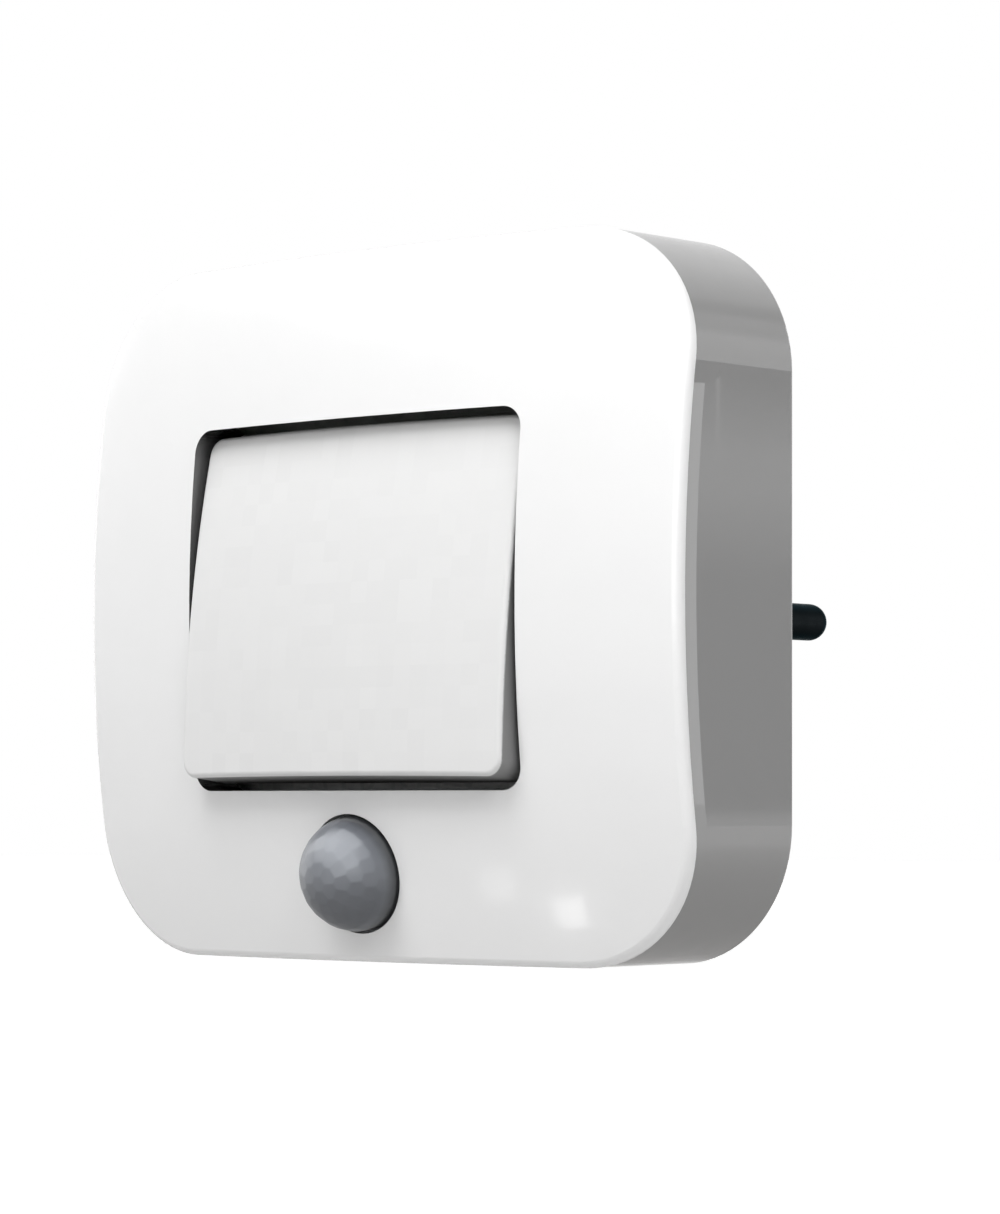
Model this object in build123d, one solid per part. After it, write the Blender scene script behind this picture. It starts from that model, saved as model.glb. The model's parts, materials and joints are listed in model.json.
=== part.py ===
from build123d import *
import math
import os

# A plug in night light with a motion sensor, in millimetres.
# The origin is the centre of the plug's engagement face, between the two pins. The pins point along +Y
# into the socket, the front faces -Y, +X is to the right and +Z is up.

# Clearance all round a piece that is pressed, riveted or screwed in
SNUG_FIT = 0.02

# Plug: a flat block with two round pins, which enters a recessed socket
PIN_SPACING = 18.6
PIN_RADIUS = 2.0
PIN_LENGTH = 19.0
SLEEVE_LENGTH = 10.0
SLEEVE_RADIUS = 1.83
PIN_CORE_RADIUS = 1.4
PIN_HEAD_RADIUS = 3.2
PIN_HEAD_HEIGHT = 1.8
PIN_SHANK_RADIUS = 1.5
PIN_SHANK_END = 2.4
PLUG_WIDTH = 35.3
PLUG_HEIGHT = 13.7
PLUG_CORNER = 4.6
PLUG_DEPTH = 17.6
PLUG_WALL = 2.0
PLUG_FACE_WALL = 3.5
PLUG_EDGE_ROUND = 0.8

# Drum: the round step between the plug block and the body
DRUM_DEPTH = 8.2
DRUM_BASE_RADIUS = 23.0
DRUM_END_RADIUS = 21.0
DRUM_WALL = 2.0
DRUM_EDGE_ROUND = 1.2

# Body: a tub with rounded corners
BODY_WIDTH = 80.0
BODY_HEIGHT = 71.2
BODY_CORNER = 13.7
EDGE_DEPTH = 13.7
BODY_WALL = 2.0
REAR_WALL = 2.2
BODY_EDGE_ROUND = 0.6

# A shallow bevel on each flat side, behind the cover's lip. A margin is from the body's end to the bevel
BEVEL_WIDTH = 1.7
BEVEL_DEPTH = 0.12
BEVEL_TOP_MARGIN = 15.8
BEVEL_BOTTOM_MARGIN = 13.4

# Front: a cover that bulges forward both ways, as part of a barrel. BARREL_SPAN is the barrel's angle
BULGE_UPRIGHT = 4.2
BULGE_ACROSS = 4.1
BARREL_SPAN = 60.0
BARREL_SPARE = 7.0
COVER_LIP = 1.0
COVER_EDGE_ROUND = 0.9
COVER_THICKNESS = 2.2
COVER_FIT = 0.15
SKIRT_DEPTH = 4.4
SKIRT_WALL = 1.2
SKIRT_GAP = 0.4

# Window for the rocker, and its collar. A margin is from the body's edge to the window
WINDOW_SIDE_MARGIN = 17.8
WINDOW_END_MARGIN = 17.1
WINDOW_CORNER = 2.3
WINDOW_EDGE_ROUND = 0.3
COLLAR_WALL = 1.2
BEARING_WALL = 1.4

# Rocker: a light diffuser on a carrier frame, tilting on two trunnions
ROCKER_SIDE_GAP = 0.55
ROCKER_END_GAP = 0.9
ROCKER_PROUD = 0.4
ROCKER_TILT = 7.0
ROCKER_EDGE_ROUND = 0.5
AXIS_DEPTH = 5.0
DIFFUSER_THICKNESS = 1.3
DIFFUSER_DEPTH = 2.0
CARRIER_WALL = 1.4
CARRIER_TAIL = 2.0
TRUNNION_RADIUS = 1.5
TRUNNION_FIT = 0.05
TRUNNION_END_GAP = 0.4

# See-saw contact and its sprung plunger. The inset is from the window's side
SWITCH_INSET = 4.7
CONTACT_DEPTH = 3.5
CONTACT_THICKNESS = 0.4
CONTACT_LENGTH = 9.0
CONTACT_WIDTH = 2.6
CONTACT_CORNER = 0.6
RIDGE_RADIUS = 0.5
RIDGE_GAP = 0.05
PAD_GAP = 0.1
PAD_RADIUS = 0.8
PAD_HEAD = 0.3
SWITCH_BASE_WIDTH = 4.4
SWITCH_BASE_LENGTH = 12.4
SWITCH_CHEEK = 0.5
CHEEK_HEIGHT = 1.5
LEG_THICKNESS = 0.5
PLUNGER_RADIUS = 1.2
PLUNGER_LENGTH = 2.8
PLUNGER_NOSE = 0.95
PLUNGER_GAP = 0.25
PLUNGER_FIT = 0.05
PLUNGER_BOSS_WALL = 0.9
SPRING_ROOM = 1.9
SPRING_WIRE = 0.14
SPRING_TURNS = 4
SPRING_FLOOR = 0.7

# Boards. The light board reaches past the window's sides and stays clear of the body's ends
BOARD_THICKNESS = 1.6
STANDOFF_HEIGHT = 3.4
STANDOFF_RADIUS = 2.6
MAIN_BOARD_WIDTH = 60.0
MAIN_BOARD_HEIGHT = 40.0
MAIN_POST_SIDE_INSET = 3.5
MAIN_POST_END_INSET = 5.0
BOARD_CORNER = 2.0
SWING_CLEARANCE = 1.6
LIGHT_BOARD_THICKNESS = 1.2
LIGHT_BOARD_SIDE = 2.8
LIGHT_BOARD_TOP_GAP = 8.0
LIGHT_BOARD_BOTTOM_GAP = 4.4
LIGHT_POST_INSET = 1.7
LIGHT_POST_RISE = 5.9
LIGHT_POST_RADIUS = 2.5

# Light and its reflector
TRAY_GAP = 1.0
TRAY_WALL = 0.8
TRAY_FLOOR = 0.6
TRAY_HEIGHT = 3.8
NOTCH_MARGIN = 0.7
EMITTER_WIDTH = 3.5
EMITTER_HEIGHT = 2.8
EMITTER_THICKNESS = 0.8
EMITTER_COLUMNS = 3
EMITTER_ROWS = 2
EMITTER_DISH_RADIUS = 1.1
EMITTER_DISH_DEPTH = 0.15
LIGHT_SENSOR_RADIUS = 1.5
LIGHT_SENSOR_HEIGHT = 2.4
LIGHT_SENSOR_ROUND = 0.9
PART_CLEARANCE = 0.3

# Motion sensor and its lens. The margin is from the body's lower edge to the lens's middle
LENS_MARGIN = 8.8
LENS_RADIUS = 5.82
LENS_SINK = 0.55
LENS_WALL = 0.6
LENS_HOLE_GAP = 0.25
LENS_SEAT_DEPTH = 1.9
LENS_FLANGE_RADIUS = 7.4
LENS_FLANGE_THICKNESS = 0.9
LENS_FLANGE_TOP = 6.15
LENS_FLANGE_BOTTOM = -6.5
LENS_FLANGE_FIT = 0.15
RETAINER_WIDTH = 26.0
RETAINER_TOP = 5.6
RETAINER_BOTTOM = -6.2
RETAINER_HOLE_RADIUS = 4.9
RETAINER_CORNER = 2.5
RETAINER_THICKNESS = 1.2
RETAINER_SCREW_X = 10.2
RETAINER_BOSS_RADIUS = 2.0
SENSOR_RADIUS = 4.1
SENSOR_HEIGHT = 4.2
SENSOR_FLANGE_RADIUS = 4.6
SENSOR_FLANGE_THICKNESS = 0.4
SENSOR_WINDOW_WIDTH = 3.8
SENSOR_WINDOW_HEIGHT = 2.8
SENSOR_WINDOW_DEPTH = 0.4
SPACER_HEIGHT = 1.5
SPACER_RADIUS = 4.8
SENSOR_LEAD_TURNS = (-45, 45, 135)
SENSOR_LEAD_CIRCLE = 2.54
SENSOR_LEAD_RADIUS = 0.23
LEAD_HOLE_GAP = 0.1
LEAD_TAIL = 1.0

# Power supply. A size is width, height off the board and depth; a place is X and Z
PACKAGE_EDGE = 0.3
TERMINAL_THICKNESS = 0.5
TERMINAL_EYE = 6.0
TERMINAL_WIDTH = 4.0
SLOT_GAP = 0.15
CLAMP_FIT = 0.2
CLAMP_THICKNESS = 2.4
CLAMP_POST_RADIUS = 2.4
FILM_CAPACITOR_SIZE = (13.0, 11.0, 6.0)
FILM_CAPACITOR_PLACE = (-2.0, 10.6)
CAPACITOR_RADIUS = 4.0
CAPACITOR_HEIGHT = 10.5
CAPACITOR_PLACE = (-6.5, -10.6)
CAPACITOR_GROOVE = 0.3
CAPACITOR_FOOT = 1.5
RECTIFIER_SIZE = (8.4, 2.6, 6.4)
RECTIFIER_PLACE = (2.8, -12.6)
RESISTOR_RADIUS = 1.7
RESISTOR_LENGTH = 8.0
RESISTOR_PLACE = (11.6, -6.6)
RESISTOR_HEIGHT = 2.2
VARISTOR_RADIUS = 3.5
VARISTOR_THICKNESS = 3.0
VARISTOR_PLACE = (9.6, 10.6)
VARISTOR_LIFT = 0.8
CHIP_SIZE = (4.0, 1.5, 5.0)
CHIP_PLACE = (0.0, 8.0)
CHIP_LIFT = 0.1
CHIP_LEADS = 4
CHIP_LEAD_SPACING = 1.27
CHIP_LEAD_REACH = 0.9
CHIP_LEAD = 0.35
LEAD_RADIUS = 0.3
HEADER_INSET = 2.6
HEADER_PINS = 5
HEADER_SPACING = 2.54
HEADER_WIDTH = 2.5
HEADER_PIN = 0.64

# Screws. The housing screws' insets are from the body's sides and ends
SCREW_SIDE_INSET = 9.8
SCREW_END_INSET = 10.2
TOWER_RADIUS = 3.9
TOWER_HEIGHT = 3.2
COUNTERBORE_RADIUS = 2.9
COUNTERBORE_DEPTH = 3.0
POST_RADIUS = 3.2
HOUSING_SCREW_RADIUS = 1.25
HOUSING_SCREW_HEAD = 2.5
HOUSING_SCREW_LENGTH = 11.0
BOARD_SCREW_RADIUS = 0.9
BOARD_SCREW_HEAD = 1.8
MAIN_SCREW_LENGTH = 5.0
LIGHT_SCREW_LENGTH = 5.5
CLAMP_SCREW_LENGTH = 6.2
LENS_SCREW_RADIUS = 0.7
LENS_SCREW_HEAD = 1.4
LENS_SCREW_LENGTH = 2.9
SCREW_HOLE_GAP = 0.25
PILOT_SPARE = 0.6
# Heights and widths of a screw's parts, as shares of its head's or shank's radius
HEAD_HEIGHT_SHARE = 0.7
HEAD_ROUND_SHARE = 0.28
CROSS_SHARE = 0.22
TAPER_SHARE = 1.5
POINT_SHARE = 0.3

# Places along Y, worked out from the sizes above
BODY_REAR = -(PLUG_DEPTH + DRUM_DEPTH)
WALL_FRONT = BODY_REAR - REAR_WALL
BOARD_REAR = WALL_FRONT - STANDOFF_HEIGHT
BOARD_FRONT = BOARD_REAR - BOARD_THICKNESS
TOWER_FRONT = WALL_FRONT - TOWER_HEIGHT
FRONT_Y = BODY_REAR - EDGE_DEPTH - BULGE_UPRIGHT - BULGE_ACROSS
ROCKER_Y = FRONT_Y - ROCKER_PROUD
AXIS_Y = ROCKER_Y + AXIS_DEPTH
CARRIER_REAR = AXIS_Y + CARRIER_TAIL
COLLAR_REAR = AXIS_Y + TRUNNION_RADIUS + BEARING_WALL
CLAMP_REAR = -PLUG_FACE_WALL - PIN_HEAD_HEIGHT
CLAMP_FRONT = CLAMP_REAR - CLAMP_THICKNESS
CONTACT_FRONT = AXIS_Y + CONTACT_DEPTH
CONTACT_REAR = CONTACT_FRONT + CONTACT_THICKNESS
RIDGE_Y = CONTACT_REAR + RIDGE_GAP + RIDGE_RADIUS

# Sizes worked out from those above
WINDOW_WIDTH = BODY_WIDTH - 2 * WINDOW_SIDE_MARGIN
WINDOW_HEIGHT = BODY_HEIGHT - 2 * WINDOW_END_MARGIN
LENS_Z = LENS_MARGIN - BODY_HEIGHT / 2
SCREW_X = BODY_WIDTH / 2 - SCREW_SIDE_INSET
SCREW_Z = BODY_HEIGHT / 2 - SCREW_END_INSET
SWITCH_X = WINDOW_WIDTH / 2 - SWITCH_INSET
MAIN_POST_X = MAIN_BOARD_WIDTH / 2 - MAIN_POST_SIDE_INSET
MAIN_POST_Z = MAIN_BOARD_HEIGHT / 2 - MAIN_POST_END_INSET
LIGHT_BOARD_WIDTH = WINDOW_WIDTH + 2 * LIGHT_BOARD_SIDE
LIGHT_BOARD_TOP = BODY_HEIGHT / 2 - LIGHT_BOARD_TOP_GAP
LIGHT_BOARD_BOTTOM = LIGHT_BOARD_BOTTOM_GAP - BODY_HEIGHT / 2
LIGHT_POST_X = WINDOW_WIDTH / 2 - LIGHT_POST_INSET
LIGHT_POST_Z = WINDOW_HEIGHT / 2 + LIGHT_POST_RISE
HEADER_X = HEADER_INSET - LIGHT_BOARD_WIDTH / 2
ROCKER_WIDTH = WINDOW_WIDTH - 2 * ROCKER_SIDE_GAP
ROCKER_HEIGHT = WINDOW_HEIGHT - 2 * ROCKER_END_GAP
ROCKER_CORNER = WINDOW_CORNER - ROCKER_SIDE_GAP
TILT = math.radians(ROCKER_TILT)
ROCKER_SWING = ROCKER_HEIGHT / 2 * math.sin(TILT)
LIGHT_FRONT = CARRIER_REAR + ROCKER_SWING + SWING_CLEARANCE
LIGHT_REAR = LIGHT_FRONT + LIGHT_BOARD_THICKNESS
COVER_INSET = BODY_WALL + COVER_FIT
BEARING_REACH = WINDOW_WIDTH / 2 + 2 * COLLAR_WALL
BARREL_UPRIGHT = ((BODY_HEIGHT / 2) ** 2 + BULGE_UPRIGHT**2) / (2 * BULGE_UPRIGHT)
BARREL_ACROSS = ((BODY_WIDTH / 2) ** 2 + BULGE_ACROSS**2) / (2 * BULGE_ACROSS)
TRAY_WIDTH = ROCKER_WIDTH - 2 * (CARRIER_WALL + TRAY_GAP)
TRAY_LENGTH = ROCKER_HEIGHT - 2 * (CARRIER_WALL + TRAY_GAP)
TRAY_NOTCH_X = SWITCH_X - SWITCH_BASE_WIDTH / 2 - NOTCH_MARGIN
EMITTER_CENTRE_X = (TRAY_NOTCH_X - TRAY_WIDTH / 2) / 2
EMITTER_SPACING_X = (TRAY_NOTCH_X + TRAY_WIDTH / 2) / EMITTER_COLUMNS
EMITTER_SPACING_Z = TRAY_LENGTH / EMITTER_ROWS
PLUNGER_TIP = CONTACT_FRONT - PLUNGER_GAP
PLUNGER_BASE = PLUNGER_TIP - PLUNGER_LENGTH
PLUNGER_BORE = PLUNGER_RADIUS + PLUNGER_FIT
SPRING_TOP = PLUNGER_BASE - SPRING_ROOM
SPRING_RADIUS = PLUNGER_RADIUS - SPRING_WIRE
BOSS_RADIUS = PLUNGER_BORE + PLUNGER_BOSS_WALL
CONTACT_RISE = (RIDGE_Y - CONTACT_REAR) * math.cos(TILT)
CONTACT_DIP = CONTACT_LENGTH / 2 * math.sin(TILT)
PAD_FACE = RIDGE_Y - CONTACT_RISE + CONTACT_DIP + PAD_GAP
BASE_FRONT = PAD_FACE + PAD_HEAD
FLANGE_REAR = LENS_SEAT_DEPTH + LENS_FLANGE_THICKNESS
RETAINER_REAR = FLANGE_REAR + RETAINER_THICKNESS
SPACER_FRONT = LIGHT_FRONT - SPACER_HEIGHT
SENSOR_FRONT = SPACER_FRONT - SENSOR_HEIGHT

CENTRE = Align.CENTER
LOW = (Align.CENTER, Align.CENTER, Align.MIN)
HIGH = (Align.CENTER, Align.CENTER, Align.MAX)


def facing_front(x, y, z):
    """A plane whose own Z points forward, with X to the right and Y up."""
    return Plane(origin=(x, y, z), x_dir=(1, 0, 0), z_dir=(0, -1, 0))


def facing_rear(x, y, z):
    """A plane whose own Z points to the rear."""
    return Plane(origin=(x, y, z), x_dir=(1, 0, 0), z_dir=(0, 1, 0))


def slab(width, height, front, rear, x=0, z=0, corner=0):
    """A plate seen from the front, with rounded corners if corner isn't 0."""
    outline = RectangleRounded(width, height, corner) if corner else Rectangle(width, height)
    return facing_front(x, rear, z).location * extrude(outline, rear - front)


def bar(radius, front, rear, x=0, z=0):
    """A round bar along Y."""
    return facing_front(x, rear, z).location * Cylinder(radius, rear - front, align=LOW)


def bar_across(radius, left, right, y, z=0):
    """A round bar along X."""
    return Pos((left + right) / 2, y, z) * Rot(0, 90, 0) * Cylinder(radius, right - left)


def dome(radius):
    """The upper half of a ball, on the origin."""
    return Sphere(radius, arc_size1=0, align=None)


def four(x, z):
    """The four places that are x and z away from the middle."""
    return [(side * x, end * z) for side in (-1, 1) for end in (-1, 1)]


def behind_front(offset=0.0):
    """Everything behind the pillow-shaped front, with that front moved outwards by offset."""
    radius = BARREL_UPRIGHT + offset
    reach = BODY_HEIGHT / 2 + BARREL_SPARE
    axis_y = FRONT_Y + BARREL_ACROSS
    middle = FRONT_Y - offset
    edge = middle + radius - math.sqrt(radius**2 - reach**2)
    arc = ThreePointArc((edge, -reach), (middle, 0), (edge, reach))
    back = Polyline((edge, reach), (axis_y, reach), (axis_y, -reach), (edge, -reach))
    profile = Plane.YZ * make_face([arc, back])
    upright = Axis((0, axis_y, 0), (0, 0, 1))
    return revolve(profile, upright, BARREL_SPAN).rotate(upright, -BARREL_SPAN / 2)


def front_surface_y(z):
    """Where the front's middle line lies at height z."""
    return FRONT_Y + BARREL_UPRIGHT - math.sqrt(BARREL_UPRIGHT**2 - z**2)


def lens_plane():
    """The plane that touches the front at the lens, with its own Z pointing outwards."""
    lean = math.asin(LENS_Z / BARREL_UPRIGHT)
    outwards = (0, -math.cos(lean), math.sin(lean))
    return Plane(origin=(0, front_surface_y(LENS_Z), LENS_Z), x_dir=(1, 0, 0), z_dir=outwards)


def tilted(piece):
    """A rocker piece turned from level to its rest, with its lower edge out."""
    return piece.rotate(Axis((0, AXIS_Y, 0), (1, 0, 0)), -ROCKER_TILT)


def screw(seat, head_radius, shank_radius, length):
    """A cross-head screw. Its head stands on the seat plane, and its shank goes the other way."""
    head_height = head_radius * HEAD_HEIGHT_SHARE
    head = Cylinder(head_radius, head_height, align=LOW)
    head = fillet(head.edges().sort_by(Axis.Z)[-1], head_radius * HEAD_ROUND_SHARE)
    slot = Box(head_radius, head_radius * CROSS_SHARE, head_height)
    for turn in (0, 90):
        head -= Pos(0, 0, head_height) * Rot(0, 0, turn) * slot
    taper = shank_radius * TAPER_SHARE
    shank = Cylinder(shank_radius, length - taper, align=HIGH)
    tip = Cone(shank_radius * POINT_SHARE, shank_radius, taper, align=HIGH)
    point = Pos(0, 0, taper - length) * tip
    return seat.location * (head + shank + point)


# The housing and the plug


def plug_block(inset, front, rear):
    """The plug block's outline, drawn in by inset."""
    return slab(
        PLUG_WIDTH - 2 * inset, PLUG_HEIGHT - 2 * inset, front, rear, corner=PLUG_CORNER - inset
    )


def drum(inset, front, rear):
    """The drum's cone between two places along Y, drawn in by inset."""
    slope = (DRUM_END_RADIUS - DRUM_BASE_RADIUS) / DRUM_DEPTH
    front_radius = DRUM_BASE_RADIUS - inset + slope * (front - BODY_REAR)
    rear_radius = DRUM_BASE_RADIUS - inset + slope * (rear - BODY_REAR)
    return facing_rear(0, front, 0).location * Cone(
        front_radius, rear_radius, rear - front, align=LOW
    )


def side_bevels():
    """What the bevels take off the sides: wedges that follow the upright arc of the front."""
    wall = BODY_WIDTH / 2
    edge = FRONT_Y + BULGE_ACROSS + COVER_LIP
    foot, crest = edge - BEVEL_WIDTH, edge + 2 * BEVEL_WIDTH
    section = Polyline(
        (wall - 2 * BEVEL_DEPTH, foot), (wall + BEVEL_DEPTH, crest), (wall + BEVEL_DEPTH, foot), close=True
    )
    across = Axis((0, edge + BARREL_UPRIGHT, 0), (1, 0, 0))
    wedge = revolve(make_face(section), across, BARREL_SPAN).rotate(across, -BARREL_SPAN / 2)
    top = BODY_HEIGHT / 2 - BEVEL_TOP_MARGIN
    bottom = BEVEL_BOTTOM_MARGIN - BODY_HEIGHT / 2
    wedge &= slab(2 * BODY_WIDTH, top - bottom, FRONT_Y, BODY_REAR, z=(top + bottom) / 2)
    return [wedge, mirror(wedge, Plane.YZ)]


def rear_housing():
    """The tub, the drum and the plug block in one moulding."""
    tub = slab(BODY_WIDTH, BODY_HEIGHT, FRONT_Y, BODY_REAR, corner=BODY_CORNER)
    tub = fillet(tub.faces().sort_by(Axis.Y)[-1].edges(), BODY_EDGE_ROUND)
    tub -= slab(
        BODY_WIDTH - 2 * BODY_WALL,
        BODY_HEIGHT - 2 * BODY_WALL,
        FRONT_Y - 1,
        WALL_FRONT,
        corner=BODY_CORNER - BODY_WALL,
    )
    tub &= behind_front(-COVER_LIP)
    tub -= side_bevels()
    step = drum(0, WALL_FRONT, -PLUG_DEPTH)
    step = fillet(step.faces().sort_by(Axis.Y)[-1].edges(), DRUM_EDGE_ROUND)
    block = plug_block(0, -PLUG_DEPTH - DRUM_WALL, 0)
    block = fillet(block.faces().sort_by(Axis.Y)[-1].edges(), PLUG_EDGE_ROUND)
    tub += step + block
    tub -= drum(DRUM_WALL, WALL_FRONT - 1, -PLUG_DEPTH - DRUM_WALL)
    tub -= plug_block(PLUG_WALL, -PLUG_DEPTH - DRUM_WALL - 1, -PLUG_FACE_WALL)
    tub += bar(CLAMP_POST_RADIUS, CLAMP_REAR, -PLUG_FACE_WALL)
    tub -= bar(BOARD_SCREW_RADIUS + SNUG_FIT, CLAMP_REAR, CLAMP_FRONT + CLAMP_SCREW_LENGTH + PILOT_SPARE)
    for side in (-1, 1):
        tub -= bar(SLEEVE_RADIUS + SNUG_FIT, -PLUG_FACE_WALL, 0, x=side * PIN_SPACING / 2)
    for x, z in four(MAIN_POST_X, MAIN_POST_Z):
        tub += bar(STANDOFF_RADIUS, BOARD_REAR, WALL_FRONT, x, z)
        pilot_end = BOARD_FRONT + MAIN_SCREW_LENGTH + PILOT_SPARE
        tub -= bar(BOARD_SCREW_RADIUS + SNUG_FIT, BOARD_REAR, pilot_end, x, z)
    seat = BODY_REAR - COUNTERBORE_DEPTH
    for x, z in four(SCREW_X, SCREW_Z):
        tub += bar(TOWER_RADIUS, TOWER_FRONT, WALL_FRONT, x, z)
        tub -= bar(COUNTERBORE_RADIUS, seat, BODY_REAR, x, z)
        tub -= bar(HOUSING_SCREW_RADIUS + SCREW_HOLE_GAP, TOWER_FRONT, seat, x, z)
    return tub


def pin(side):
    """One plug pin: a solid end, a thinner core under the sleeve, a head and a shank inside."""
    x = side * PIN_SPACING / 2
    end = bar(PIN_RADIUS, SLEEVE_LENGTH, PIN_LENGTH - PIN_RADIUS, x)
    tip = facing_rear(x, PIN_LENGTH - PIN_RADIUS, 0).location * dome(PIN_RADIUS)
    core = bar(PIN_CORE_RADIUS, -PLUG_FACE_WALL, SLEEVE_LENGTH, x)
    head = bar(PIN_HEAD_RADIUS, CLAMP_REAR, -PLUG_FACE_WALL, x)
    shank_front = CLAMP_FRONT - TERMINAL_THICKNESS - PIN_SHANK_END
    shank = bar(PIN_SHANK_RADIUS, shank_front, CLAMP_REAR, x)
    return end + tip + core + head + shank


def pin_sleeves():
    """The insulating sleeves, from the pins' heads to their bare ends."""
    sleeves = []
    for side in (-1, 1):
        x = side * PIN_SPACING / 2
        sleeve = bar(SLEEVE_RADIUS, -PLUG_FACE_WALL, SLEEVE_LENGTH, x)
        sleeves.append(sleeve - bar(PIN_CORE_RADIUS + SNUG_FIT, -PLUG_FACE_WALL, SLEEVE_LENGTH, x))
    return Compound(sleeves)


def pin_clamp():
    """The plate that holds both pins' heads down on the plug's face wall."""
    plate = plug_block(PLUG_WALL + CLAMP_FIT, CLAMP_FRONT, CLAMP_REAR)
    plate -= bar(BOARD_SCREW_RADIUS + SCREW_HOLE_GAP, CLAMP_FRONT, CLAMP_REAR)
    for side in (-1, 1):
        hole = PIN_SHANK_RADIUS + SCREW_HOLE_GAP
        plate -= bar(hole, CLAMP_FRONT, CLAMP_REAR, x=side * PIN_SPACING / 2)
    return plate


def pin_clamp_screw():
    """The screw in the middle of the clamp."""
    return screw(facing_front(0, CLAMP_FRONT, 0), BOARD_SCREW_HEAD, BOARD_SCREW_RADIUS, CLAMP_SCREW_LENGTH)


def terminal_leg_x(side):
    """The middle of a terminal's leg."""
    return side * (PIN_SPACING / 2 + TERMINAL_EYE / 2 + TERMINAL_THICKNESS / 2)


def pin_terminals():
    """Stamped strips: an eye on each pin's shank and a leg that goes through the main board."""
    strips = []
    eye_front = CLAMP_FRONT - TERMINAL_THICKNESS
    for side in (-1, 1):
        x = side * PIN_SPACING / 2
        eye = slab(TERMINAL_EYE, TERMINAL_EYE, eye_front, CLAMP_FRONT, x=x)
        leg_x = terminal_leg_x(side)
        leg_front = BOARD_FRONT - LEAD_TAIL
        leg = slab(TERMINAL_THICKNESS, TERMINAL_WIDTH, leg_front, CLAMP_FRONT, x=leg_x)
        strip = eye + leg - bar(PIN_SHANK_RADIUS + SNUG_FIT, eye_front, CLAMP_FRONT, x)
        strips.append(strip)
    return Compound(strips)


# The front cover and the lens


def cover_shell():
    """The bare cover: a thin lip over the housing's edge and a thicker plate inside it."""
    full = slab(BODY_WIDTH, BODY_HEIGHT, FRONT_Y - 1, BODY_REAR - EDGE_DEPTH + 1, corner=BODY_CORNER)
    full &= behind_front()
    full = fillet(full.faces().sort_by(Axis.Y)[0].edges(), COVER_EDGE_ROUND)
    window = slab(WINDOW_WIDTH, WINDOW_HEIGHT, FRONT_Y - 1, BODY_REAR, corner=WINDOW_CORNER)
    lens_hole = Cylinder(LENS_RADIUS + LENS_HOLE_GAP, 4 * COVER_THICKNESS)
    full -= window
    full -= lens_plane().location * lens_hole
    front = full.faces().sort_by(SortBy.AREA)[-1]
    full = fillet(front.inner_wires().edges(), WINDOW_EDGE_ROUND)
    plate = slab(
        BODY_WIDTH - 2 * COVER_INSET,
        BODY_HEIGHT - 2 * COVER_INSET,
        FRONT_Y,
        BODY_REAR,
        corner=BODY_CORNER - COVER_INSET,
    )
    rim = slab(BODY_WIDTH, BODY_HEIGHT, FRONT_Y, BODY_REAR) - plate
    full -= rim & behind_front(-COVER_LIP)
    return full - behind_front(-COVER_THICKNESS)


def cover_skirt():
    """The locating skirt that fits inside the housing's wall, open behind the lens."""
    width = BODY_WIDTH - 2 * COVER_INSET
    height = BODY_HEIGHT - 2 * COVER_INSET
    corner = BODY_CORNER - COVER_INSET
    skirt = slab(width, height, FRONT_Y, WALL_FRONT, corner=corner)
    skirt -= slab(
        width - 2 * SKIRT_WALL,
        height - 2 * SKIRT_WALL,
        FRONT_Y - 1,
        WALL_FRONT,
        corner=corner - SKIRT_WALL,
    )
    skirt = (skirt & behind_front(-COVER_LIP)) - behind_front(-SKIRT_DEPTH)
    gap = slab(RETAINER_WIDTH + 2 * SKIRT_GAP, BODY_HEIGHT / 2, FRONT_Y, WALL_FRONT, z=-BODY_HEIGHT / 2)
    return skirt - gap


def window_collar():
    """The collar behind the window, with a bearing boss on each side."""
    outer = slab(
        WINDOW_WIDTH + 2 * COLLAR_WALL,
        WINDOW_HEIGHT + 2 * COLLAR_WALL,
        FRONT_Y,
        COLLAR_REAR,
        corner=WINDOW_CORNER + COLLAR_WALL,
    )
    outer += bar_across(TRUNNION_RADIUS + BEARING_WALL, -BEARING_REACH, BEARING_REACH, AXIS_Y)
    window = slab(WINDOW_WIDTH, WINDOW_HEIGHT, FRONT_Y - 1, COLLAR_REAR, corner=WINDOW_CORNER)
    return (outer & behind_front(-COVER_LIP)) - window


def flange_disc(fit, thickness):
    """The lens's flange, made larger by fit: a disc with two flats, behind its seat."""
    radius = LENS_FLANGE_RADIUS + fit
    top = LENS_FLANGE_TOP + fit
    bottom = LENS_FLANGE_BOTTOM - fit
    flats = Pos(0, (top + bottom) / 2) * Rectangle(4 * radius, top - bottom)
    return Pos(0, 0, -LENS_SEAT_DEPTH) * extrude(Circle(radius) & flats, -thickness)


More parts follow.
